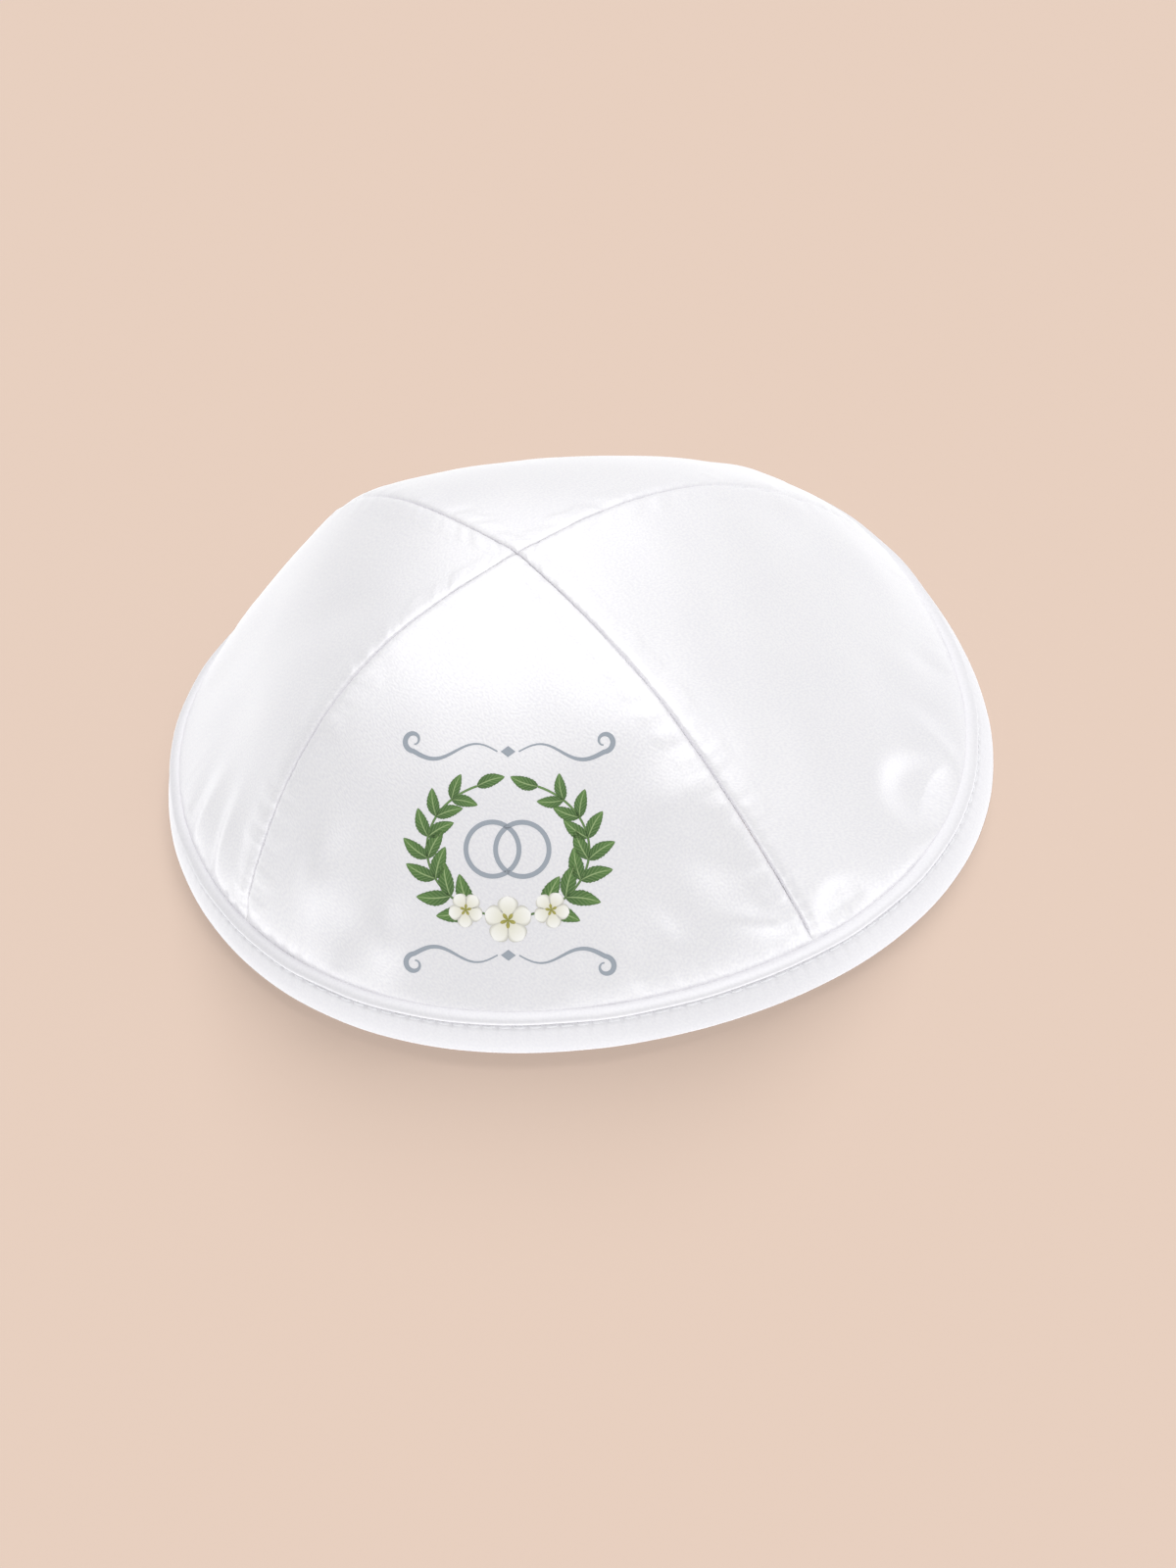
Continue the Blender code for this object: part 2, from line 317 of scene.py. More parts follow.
@dataclass(frozen=True)
class CapForm:
    """The cap's outer form, with the same formulas and sizes as its solids."""

    height: float = 62.0 * MM
    rim_radius: float = 90.0 * MM  # mean, to the binding's outer face at the floor
    dome_radius: float = 85.2 * MM  # mean, to the panels' outer face at the binding's top
    lean: tuple[float, float] = (-0.076, -0.110)  # along x and y, for each unit of height
    panel_wall: float = 1.2 * MM
    band_height: float = 8.3 * MM
    band_wall: float = 1.1 * MM
    clearance: float = 0.35 * MM
    lobes: tuple = ((3, 0.0185, -42.0), (4, 0.0155, -19.0))  # how many, size and direction
    crown_lobes: float = 0.22  # share of the lobes that is left at the crown
    seam_arc: tuple[float, float, float] = (0.76, 1.40, -0.05)
    middle_arc: tuple[float, float, float] = (0.91, 1.78, -0.07)
    rim_blend: float = 2.0  # how sharply a panel's middle rises from its seams, at the rim
    crown_blend: float = 0.6

    @property
    def band_outside(self) -> float:
        """Outer face of the binding, out from the panels' outer face."""
        return self.clearance + self.band_wall

    @property
    def wall_foot_radius(self) -> float:
        """Mean radius at the floor of the line that the panels' outer face follows."""
        return self.rim_radius - self.band_outside

    @property
    def slot_inside(self) -> float:
        """Inner wall of the binding's slot, out from the panels' outer face."""
        slope = (self.wall_foot_radius - self.dome_radius) / self.band_height
        tilt = math.atan(slope + math.hypot(*self.lean))
        return -(self.panel_wall / math.cos(tilt) + self.clearance)

    def girth(self, azimuth: ndarray, rise: ndarray) -> ndarray:
        """Factor on the radius for the out-of-round outline, fading towards the crown.

        Args:
            azimuth: directions in radians.
            rise: height shares, from the binding (0) to the crown (1).

        Returns:
            The factors.
        """
        swing = sum(
            size * np.cos(count * (azimuth - math.radians(towards)))
            for count, size, towards in self.lobes
        )
        return 1.0 + swing * mix(1.0, self.crown_lobes, rise)

    def wall_radius(self, height: ndarray) -> ndarray:
        """Mean radius of the panels' outer face inside the binding, at a height."""
        return mix(self.wall_foot_radius, self.dome_radius, height / self.band_height)

    def foot_outline(self, azimuth: ndarray) -> ndarray:
        """Points of the foot's outline from the cap's own axis, at directions in radians."""
        radius = self.girth(azimuth, 0.0) * self.wall_foot_radius + self.band_outside
        return np.stack([radius * np.cos(azimuth), radius * np.sin(azimuth)], axis=-1)

    def middle(self) -> ndarray:
        """Middle of the foot's outline, as x and y from the cap's own axis."""
        outline = self.foot_outline(np.linspace(0.0, 2 * np.pi, 720, endpoint=False))
        return (outline.min(axis=0) + outline.max(axis=0)) / 2

    def placed(self, azimuth: ndarray, radius: ndarray, height: ndarray) -> ndarray:
        """Points at radii and heights, moved by the cap's lean into the model's frame.

        Args:
            azimuth: directions in radians.
            radius: distances from the cap's own axis.
            height: heights above the floor.

        Returns:
            The points, with x, y and z along the last axis.
        """
        middle_x, middle_y = self.middle()
        along_x = radius * np.cos(azimuth) + self.lean[0] * height - middle_x
        along_y = radius * np.sin(azimuth) + self.lean[1] * height - middle_y
        return np.stack(np.broadcast_arrays(along_x, along_y, height), axis=-1)

    def meridian(self, up: ndarray, arc: tuple) -> tuple[ndarray, ndarray]:
        """Radius and height shares on a superellipse meridian.

        Args:
            up: shares of the way from the binding to the crown.
            arc: power of the radius, power of the height and swell.

        Returns:
            Radius shares and height shares.
        """
        radius_power, height_power, swell = arc
        turn = up * np.pi / 2
        radius = np.maximum(np.cos(turn), 0.0) ** radius_power
        return radius * (1.0 + swell * np.sin(2 * turn) ** 2), np.sin(turn) ** height_power


class Side(Enum):
    """The four gores, by the node that each replaces and the directions of its two seams."""

    FRONT = ("panel_front", -135.3, -47.7)
    RIGHT = ("panel_right", -47.7, 42.3)
    BACK = ("panel_back", 42.3, 142.2)
    LEFT = ("panel_left", 142.2, 360.0 - 135.3)

    @property
    def node(self) -> str:
        """Name of the CAD node."""
        return self.value[0]

    @property
    def seams(self) -> tuple[float, float]:
        """Directions of its first and second seam in radians, anticlockwise from above."""
        return math.radians(self.value[1]), math.radians(self.value[2])


@dataclass(frozen=True)
class Fold:
    """One soft fold or hollow, as a smooth swelling round a point of a panel, in millimetres."""

    across: float  # share of the way from the first seam to the second
    up: float  # share of the way from the binding to the crown
    turn: float  # degrees from upright, anticlockwise seen from outside
    long: float
    wide: float
    rise: float  # outwards, or inwards where it is below zero
    flatness: float = 1.0  # 1 for a round swelling, 2 for a dimple with a flat bottom


FOLDS = {
    Side.FRONT: (
        # a deep hollow low on the left, an upright ridge beside it, and a bulge over the rim
        Fold(0.155, 0.33, -6, 9.5, 5.2, 2.5),
        Fold(0.30, 0.25, 0, 6.5, 4.0, 1.8),
        Fold(0.22, 0.20, -8, 6.5, 3.0, -0.9),
        Fold(0.62, 0.17, 12, 5.5, 2.2, 0.35),
        Fold(0.71, 0.19, 15, 6.0, 2.4, 0.40),
        Fold(0.79, 0.22, 25, 6.0, 2.4, 0.35),
        # slack cloth along the right seam
        Fold(0.90, 0.66, 12, 7.0, 9.0, 0.8),
        Fold(0.89, 0.49, 30, 6.0, 7.5, 1.0),
        Fold(0.91, 0.35, 20, 8.0, 6.0, -1.3),
        Fold(0.80, 0.28, 20, 6.0, 6.0, -0.9),
        Fold(0.94, 0.17, 62, 6.5, 2.4, 0.8),
    ),
    Side.RIGHT: (
        # two pushed-in dimples, and upright folds along the far rim
        Fold(0.335, 0.15, -35, 7.4, 10.8, -3.2, 1.6),
        Fold(0.065, 0.09, 30, 5.4, 5.4, -0.9, 2.0),
        Fold(0.57, 0.20, 0, 7.0, 3.6, 0.1),
        Fold(0.63, 0.20, 0, 7.0, 3.8, -0.5),
        Fold(0.50, 0.22, 10, 6.0, 3.0, -0.5),
        Fold(0.44, 0.18, -10, 6.0, 2.8, 0.6),
        Fold(0.87, 0.36, 0, 8.0, 8.0, 0.7),
        Fold(0.89, 0.53, 0, 7.0, 8.0, -1.0),
    ),
    Side.BACK: (
        # mild hollows and folds, of the kind seen in front
        Fold(0.50, 0.40, 0, 18.0, 16.0, -0.7),
        Fold(0.22, 0.24, -15, 11.0, 4.5, 0.6),
        Fold(0.80, 0.27, 18, 10.0, 4.0, 0.6),
    ),
    Side.LEFT: (
        # a broad hollow, a fan of narrow folds beside the front seam, and a crease above them
        Fold(0.42, 0.25, -10, 13.0, 8.0, -0.7),
        Fold(0.72, 0.17, 4, 8.0, 3.0, -0.6),
        Fold(0.78, 0.20, 6, 8.5, 2.8, 0.7),
        Fold(0.845, 0.20, 8, 9.0, 2.6, -0.6),
        Fold(0.89, 0.20, 8, 9.0, 2.4, 0.7),
        Fold(0.945, 0.22, 8, 8.0, 2.4, -0.5),
        Fold(0.62, 0.70, -30, 12.0, 6.0, -0.5),
    ),
}


@dataclass(frozen=True)
class Ripple:
    """Uneven waves along a line, the same each time."""

    middle: float
    swing: float
    length: float  # usual distance from crest to crest
    waves: int = 5
    spread: tuple[float, float] = (0.6, 1.9)  # shortest and longest wave, as shares of length

    def along(self, run: ndarray, seed: int) -> ndarray:
        """Works out the waves.

        Args:
            run: distances along the line.
            seed: picks the waves.

        Returns:
            Values that stay about within the swing of the middle.
        """
        picks = np.random.default_rng(seed)
        total = np.zeros_like(run)
        for _ in range(self.waves):
            length = self.length * picks.uniform(*self.spread)
            total = total + np.sin(2 * np.pi * run / length + picks.uniform(0.0, 2 * np.pi))
        return self.middle + self.swing * (total / math.sqrt(self.waves))


@dataclass
class Panel:
    """One gore of satin between two seams, with its folds, rolled edges and sewn puckers."""

    side: Side
    form: CapForm
    folds: tuple[Fold, ...]
    seam_gap: float = 0.004 * MM
    seam_dip: float = 0.50 * MM  # how deep the edge rolls
    seam_roll: float = 2.6 * MM
    seam_tuck: float = 0.68 * MM  # the last fold of the edge, into the seam
    tuck_width: float = 0.27 * MM
    stitch_pitch: float = 2.6 * MM
    stitch_dimple: float = 0.10 * MM
    dimple_width: float = 1.1 * MM
    allowance: float = 6.0 * MM
    allowance_rise: float = 0.16 * MM
    allowance_edge: float = 0.45 * MM  # how softly its cut edge shows
    allowance_waver: Ripple = Ripple(1.0, 0.12, 9.0 * MM)  # factor on its width
    allowance_fading: Ripple = Ripple(0.6, 0.4, 7.0 * MM)  # factor on its rise
    fine_pucker: Ripple = Ripple(0.0, 0.045 * MM, 3.2 * MM)
    fine_reach: Ripple = Ripple(4.5, 1.5, 23.0 * MM)  # millimetres from the seam
    seam_clear: tuple[float, float] = (0.8 * MM, 1.0 * MM)  # where both reach their full rise
    pucker: Ripple = Ripple(0.0, 0.12 * MM, 5.5 * MM)
    pucker_reach: Ripple = Ripple(6.0, 2.5, 31.0 * MM)  # millimetres above the binding
    slack: float = 0.12 * MM
    slack_waves: int = 14
    slack_lengths: tuple[float, float] = (14.0, 42.0)  # millimetres from crest to crest
    relief_start: float = 3.5 * MM  # height over the binding where the relief is full
    pucker_start: float = 1.2 * MM
    columns: int = 150
    rows: int = 200
    skirt_rows: int = 3
    seam_crowding: float = 1.5  # power that draws the columns together towards the seams
    crown_crowding: float = 1.4
    cut_height: float = 117.0 * MM  # from the binding's foot to the crown, over the dome
    cut_fill: float = 0.60  # share of its rectangle that the leaf-shaped cut fills

    @property
    def cut_width(self) -> float:
        """Width that the gore was cut to at the rim."""
        first, second = self.side.seams
        return (second - first) * self.form.dome_radius

    def grid(self) -> tuple[ndarray, ndarray]:
        """Spaces the mesh over the panel, closer together at the seams and the crown.

        Returns:
            Shares across the panel, and shares up it from the skirt's foot (-1) to the crown.
        """
        even = np.linspace(-1.0, 1.0, self.columns + 1)
        across = 0.5 + 0.5 * np.sign(even) * (1.0 - (1.0 - np.abs(even)) ** self.seam_crowding)
        skirt = np.linspace(-1.0, 0.0, self.skirt_rows, endpoint=False)
        dome = 1.0 - (1.0 - np.linspace(0.0, 1.0, self.rows + 1)) ** self.crown_crowding
        return across, np.concatenate([skirt, dome])

    def smooth_points(self, across: ndarray, up: ndarray) -> ndarray:
        """Lays points on the outer face before its relief.

        Args:
            across: shares across the panel, one for each column.
            up: shares up the panel, one for each row.

        Returns:
            Points by row, column and axis.
        """
        form, (first, second) = self.form, self.side.seams
        span, centre = second - first, (first + second) / 2
        tip = self.seam_gap / 2 / math.sin(span / 2)
        dome = np.clip(up, 0.0, 1.0)[:, None]
        skirt = np.clip(-up, 0.0, 1.0)[:, None]
        middle_share = np.sin(np.pi * across) ** mix(form.rim_blend, form.crown_blend, dome)
        seam_radius, seam_rise = form.meridian(dome, form.seam_arc)
        middle_radius, middle_rise = form.meridian(dome, form.middle_arc)
        rise = mix(seam_rise, middle_rise, middle_share)
        seam_distance = np.maximum(form.dome_radius * seam_radius, tip)
        edge = np.arcsin(np.minimum(self.seam_gap / 2 / seam_distance, 1.0))
        azimuth = centre + (across - 0.5) * (span - 2 * edge)
        foot = form.band_wall + form.clearance + 0.5 * form.panel_wall
        height = mix(form.band_height, form.height, rise)
        height = np.where(skirt > 0, mix(form.band_height, foot, skirt), height)
        radius = form.dome_radius * mix(seam_radius, middle_radius, middle_share)
        radius = np.where(skirt > 0, form.wall_radius(height), radius)
        radius = np.maximum(radius * form.girth(azimuth, rise), tip)
        return form.placed(azimuth, radius, height)

    def directions(self, across: ndarray, up: ndarray) -> tuple:
        """Unit vectors on the panel.

        Args:
            across: shares across the panel.
            up: shares up the panel.

        Returns:
            Vectors towards the next seam, up the panel, and out of its face.
        """
        first, second = self.side.seams
        azimuth = mix(first, second, across)
        tilt = np.clip(up, 0.0, 1.0) * np.pi / 2
        azimuth, tilt = np.broadcast_arrays(azimuth, tilt)
        level = np.zeros_like(azimuth)
        onward = np.stack([-np.sin(azimuth), np.cos(azimuth), level], axis=-1)
        outward = np.stack(
            [np.cos(azimuth) * np.cos(tilt), np.sin(azimuth) * np.cos(tilt), np.sin(tilt)],
            axis=-1,
        )
        return onward, np.cross(outward, onward), outward

    def fold_relief(self, points: ndarray) -> ndarray:
        """Height of all the folds.

        Args:
            points: the smooth outer face.

        Returns:
            Heights out of the face.
        """
        total = np.zeros(points.shape[:-1])
        for fold in self.folds:
            at = self.smooth_points(np.array([fold.across]), np.array([fold.up]))[0, 0]
            onward, upward, _ = self.directions(np.array(fold.across), np.array(fold.up))
            turn = math.radians(fold.turn)
            along = (points - at) @ (upward * math.cos(turn) - onward * math.sin(turn))
            aside = (points - at) @ (onward * math.cos(turn) + upward * math.sin(turn))
            along, aside = along / (fold.long * MM), aside / (fold.wide * MM)
            total += fold.rise * MM * np.exp(-((along**2 + aside**2) ** fold.flatness))
        return total

    def edge_relief(self, points: ndarray) -> ndarray:
        """Rolls and tucks the edges into the seams, with a dimple at each stitch.

        Args:
            points: points of the smooth outer face, by row and column.

        Returns:
            Heights out of the face.
        """
        total = np.zeros(points.shape[:-1])
        for number, edge in enumerate((points[:, :1], points[:, -1:])):
            distance = np.linalg.norm(points - edge, axis=-1)
            run = run_along(edge[:, 0])[:, None]
            stitch = 0.5 + 0.5 * np.cos(2 * np.pi * run / self.stitch_pitch)
            total -= self.seam_dip * np.maximum(1.0 - distance / self.seam_roll, 0.0) ** 2
            total -= self.seam_tuck * np.exp(-((distance / self.tuck_width) ** 2))
            total -= self.stitch_dimple * stitch * np.exp(-((distance / self.dimple_width) ** 2))
            total += self.allowance_relief(distance, run, number)
        return total

    def allowance_relief(self, distance: ndarray, run: ndarray, number: int) -> ndarray:
        """Shows the pressed-open seam allowance through the satin, and the seam's fine puckers.

        Args:
            distance: how far each point is from the seam.
            run: how far up the seam each row is.
            number: 0 for the panel's first seam and 1 for its second.

        Returns:
            Heights out of the face.
        """
        seed = 100 * list(Side).index(self.side) + 10 * number
        edge_at = self.allowance * self.allowance_waver.along(run, seed)
        step = 1.0 / (1.0 + np.exp((distance - edge_at) / self.allowance_edge))
        wave = self.allowance_fading.along(run, seed + 1)
        reach = self.fine_reach.along(run, seed + 2) * MM
        allowance_on, pucker_on = (np.minimum(distance / clear, 1.0) for clear in self.seam_clear)
        drawn = np.exp(-((distance / reach) ** 2)) * pucker_on
        return (
            self.allowance_rise * step * wave * allowance_on
            + self.fine_pucker.along(run, seed + 3) * drawn
        )

    def rim_relief(self, across: ndarray, points: ndarray) -> ndarray:
        """Small upright puckers where the binding's stitches draw the satin in.

        Args:
            across: shares across the panel.
            points: the smooth outer face.

        Returns:
            Heights out of the face.
        """
        first, second = self.side.seams
        run = mix(first, second, across) * self.form.dome_radius
        above = points[..., 2] - self.form.band_height
        reach = self.pucker_reach.along(run, 3) * MM
        return self.pucker.along(run, 11) * np.exp(-np.maximum(above, 0) / reach)

    def slack_relief(self, points: ndarray) -> ndarray:
        """Broad, shallow unevenness of soft cloth.

        Args:
            points: the smooth outer face.

        Returns:
            Heights out of the face.
        """
        picks = np.random.default_rng(21)
        total = np.zeros(points.shape[:-1])
        for _ in range(self.slack_waves):
            towards = picks.normal(size=3)
            towards /= np.linalg.norm(towards)
            length = picks.uniform(*self.slack_lengths) * MM
            phase = picks.uniform(0.0, 2 * np.pi)
            total += np.sin(2 * np.pi * (points @ towards) / length + phase)
        return self.slack * total / math.sqrt(self.slack_waves)

    def points(self) -> ndarray:
        """Outer face of the panel with all its relief, by row, column and axis."""
        across, up = self.grid()
        points = self.smooth_points(across, up)
        above = points[..., 2] - self.form.band_height
        grown = np.clip(above / self.relief_start, 0.0, 1.0)
        rim_grown = np.clip(above / self.pucker_start, 0.0, 1.0)
        relief = self.fold_relief(points) + self.slack_relief(points)
        relief = (relief + self.edge_relief(points)) * grown
        relief += self.rim_relief(across[None, :], points) * rim_grown
        _, _, outward = self.directions(across[None, :], up[:, None])
        return points + outward * relief[..., None]

    def build(self, finish: Material) -> Object:
        """Models the gore and lets it stand for its solid.

        Args:
            finish: the satin.

        Returns:
            The piece.
        """
        points = self.points()
        piece = sewn_grid("satin_" + self.side.node, points, self.cloth_map(points))
        wall = piece.modifiers.new("wall", "SOLIDIFY")
        wall.thickness = self.form.panel_wall
        wall.offset = -1.0
        bpy.ops.object.modifier_apply(modifier=wall.name)
        bpy.ops.object.shade_smooth()
        piece.data.materials.append(finish)
        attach(piece, "root")
        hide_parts(self.side.node)
        return piece

    def cloth_map(self, points: ndarray) -> ndarray:
        """Works out where each point lies on the flat gore, so that the grain follows it.

        Args:
            points: the panel's points by row, column and axis.

        Returns:
            Places in metres of cloth, across and up, by row and column.
        """
        middle = points.shape[1] // 2
        steps = np.linalg.norm(np.diff(points, axis=1), axis=-1)
        across = np.concatenate([np.zeros((len(points), 1)), np.cumsum(steps, axis=1)], axis=1)
        across -= across[:, middle : middle + 1]
        up = run_along(points[:, middle])
        return np.stack(np.broadcast_arrays(across, up[:, None]), axis=-1)


@dataclass
class Binding:
    """Bias strip folded over the cap's edge: inner leg, flat foot, outer leg and rolled bead."""

    form: CapForm
    bead_height: float = 2.15 * MM
    bead_proud: float = 0.62 * MM  # how far it stands out past the flat leg
    bead_hug: float = 1.25 * MM  # how far the bead's oval would reach inside the panels' face
    bead_tuck: float = 0.30 * MM  # how far its top edge goes into the panels
    bead_start: float = -72.0  # degrees on the oval, from its outer side
    groove: float = 0.75 * MM
    groove_depth: float = 0.11 * MM
    puff: float = 0.16 * MM  # how far the flat leg swells between the stitches and the foot
    foot_round: float = 0.3 * MM
    inner_leg_drop: float = 1.8 * MM
    stitch_pitch: float = 3.25 * MM
    scallop: float = 0.16 * MM  # how far the stitches draw the cloth in
    prick_depth: float = 0.55 * MM
    prick_reach: float = 0.42 * MM  # half width of a needle hole
    prick_rise: float = 0.35 * MM  # half height of a needle hole
    prick_line: float = 0.35  # share of the groove that lies above the holes
    waver: float = 0.10 * MM
    waver_counts: tuple[int, ...] = (7, 13, 22, 31)  # waves round the rim
    segments: int = 2160
    cut_width: float = 24.0 * MM  # both legs, the foot, the bead and the turned-in edges

    def section(self) -> list[tuple[float, float, float, float]]:
        """Cross-section of the strip, anticlockwise from its foot.

        Returns:
            Points as (out, up, scallop, waver): places from the panels' outer face and the
            floor, and how much of the stitches' scallop and the strip's waver each takes.
        """
        form = self.form
        bead_out = (form.band_outside + self.bead_proud + self.bead_hug) / 2
        bead_up = self.bead_height / 2
        bead_end = math.degrees(math.acos((self.bead_hug - bead_out - self.bead_tuck) / bead_out))
        flat_top = form.band_height - self.bead_height - self.groove
        leg = form.band_wall / 2
        inner_top = form.band_height - self.inner_leg_drop - leg
        rows = []

        def arc(out: float, up: float, wide: float, high: float, turns: tuple, count: int,
                scallop: float, waver: float) -> None:
            """Adds an elliptical arc of points, from one angle in degrees to another."""
            for turn in np.radians(np.linspace(*turns, count)):
                place = (out + wide * math.cos(turn), up + high * math.sin(turn))
                rows.append((*place, scallop, waver))

        foot, rim = self.foot_round, form.band_outside
        arc(rim - foot, foot, foot, foot, (-90, 0), 5, 0.0, 0.3)
        for share in (0.25, 0.5, 0.75, 0.9, 0.98):
            swell = self.puff * math.sin(math.pi * share**0.8) ** 0.8
            rows.append((rim + swell, mix(foot, flat_top, share), share**3, 0.6))
        for share in (0.1, 0.25, 0.4, 0.55, 0.7, 0.85, 1.0):
            sunk = self.groove_depth * math.sin(math.pi * share**0.8) ** 0.7
            rows.append((rim - sunk, flat_top + share * self.groove, 1.0, 0.6))
        arc(bead_out - self.bead_hug, form.band_height - bead_up, bead_out, bead_up,
            (self.bead_start, bead_end), 14, 0.15, 1.0)
        rows.append((form.clearance, form.band_wall, 0.0, 0.0))
        rows.append((form.slot_inside, form.band_wall, 0.0, 0.0))
        arc(form.slot_inside - leg, inner_top, leg, leg, (0, 180), 5, 0.0, 0.3)
        inside = form.slot_inside - form.band_wall
        rows.append((inside, mix(foot, inner_top, 0.5), 0.0, 0.3))
        arc(inside + foot, foot, foot, foot, (180, 270), 4, 0.0, 0.3)
        return rows

    def run(self, azimuth: ndarray) -> ndarray:
        """Distances along the strip's outer leg, from the azimuth of zero."""
        return np.interp(azimuth, WHOLE_TURN, run_along(self.form.foot_outline(WHOLE_TURN)))

    def length(self) -> float:
        """Length of the strip's outer leg."""
        return float(self.run(WHOLE_TURN[-1:])[0])

    def stitches(self) -> int:
        """Whole number of stitches round the rim."""
        return round(self.length() / self.stitch_pitch)

    def build(self, finish: Material, topstitch: Object) -> Object:
        """Models the strip and lets it stand for its solid.

        Args:
            finish: the satin.
            topstitch: the line of stitches that holds it, which is not used here.

        Returns:
            The piece.
        """
        form, section = self.form, np.array(self.section())
        section = np.concatenate([section, section[:1]])
        azimuth = np.linspace(0.0, 2 * np.pi, self.segments + 1)
        run = self.run(azimuth)[:, None]
        turn = run / run[-1] * 2 * np.pi
        drawn = self.scallop * (0.5 + 0.5 * np.cos(turn * self.stitches())) ** 2
        waver = self.waver * sum(np.sin(n * turn + n * n) for n in self.waver_counts) / 2
        out, up = section[None, :, 0], section[None, :, 1]
        out = out - drawn * section[None, :, 2] + waver * section[None, :, 3]
        from_hole = np.sin(turn * self.stitches() / 2) * self.stitch_pitch / np.pi
        hole_up = form.band_height - self.bead_height - self.prick_line * self.groove
        hole = (from_hole / self.prick_reach) ** 2 + ((up - hole_up) / self.prick_rise) ** 2
        out = out - self.prick_depth * np.exp(-hole)
        around = form.girth(azimuth, 0.0)[:, None]
        points = form.placed(azimuth[:, None], around * form.wall_radius(up) + out, up)
        cloth = np.stack(np.broadcast_arrays(run_along(section[:, :2])[None, :], run), axis=-1)
        piece = sewn_grid("satin_rim_band", points, cloth)
        bpy.ops.object.shade_smooth()
        piece.data.materials.append(finish)
        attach(piece, "root")
        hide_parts("rim_band")
        return piece


@dataclass
class Topstitch:
    """Line of machine stitches in the binding's groove."""

    form: CapForm
    binding: Binding
    length: float = 2.55 * MM
    thread: float = 0.38 * MM
    proud: float = 0.02 * MM  # how far its middle line stands out of the groove
    bow: float = 0.22 * MM  # how far its ends dive into their needle holes
    line: float = 0.45  # share of the groove that lies above the stitches

    def build(self, finish: Material) -> Object:
        """Models one stitch, copies it round the rim and joins the copies.

        Args:
            finish: the thread.

        Returns:
            The piece.
        """
        form, binding = self.form, self.binding
        count = binding.stitches()
        runs = (np.arange(count) + 0.5) / count * binding.length()
        azimuths = np.interp(runs, binding.run(WHOLE_TURN), WHOLE_TURN)
        height = form.band_height - binding.bead_height - self.line * binding.groove
        out = form.band_outside - binding.groove_depth + self.proud
        bpy.ops.object.select_all(action="DESELECT")
        bpy.ops.mesh.primitive_uv_sphere_add(segments=8, ring_count=6, radius=self.thread / 2)
        first = bpy.context.object
        ball = np.empty(len(first.data.vertices) * 3)
        first.data.vertices.foreach_get("co", ball)
        ball = ball.reshape(-1, 3)
        along = ball[:, 2] + np.sign(ball[:, 2]) * (self.length - self.thread) / 2
        deep = ball[:, 0] + self.bow * (0.5 - (2 * along / self.length) ** 2)
        for azimuth in azimuths:
            stitch = first.copy()
            stitch.data = first.data.copy()
            bpy.context.scene.collection.objects.link(stitch)
            wall = form.wall_radius(height + ball[:, 1])
            around = azimuth + along / form.rim_radius
            points = form.placed(around, form.girth(around, 0.0) * wall + out + deep,
                                 height + ball[:, 1])
            stitch.data.vertices.foreach_set("co", points.reshape(-1))
            stitch.select_set(True)
        bpy.context.view_layer.objects.active = stitch
        first.select_set(False)
        bpy.ops.object.join()
        bpy.data.objects.remove(first)
        piece = bpy.context.object
        piece.name = piece.data.name = "rim_topstitch"
        bpy.ops.object.mode_set(mode="EDIT")
        bpy.ops.mesh.select_all(action="SELECT")
        bpy.ops.mesh.normals_make_consistent(inside=False)
        bpy.ops.object.mode_set(mode="OBJECT")
        bpy.ops.object.shade_smooth()
        piece.data.materials.append(finish)
        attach(piece, "root")
        return piece


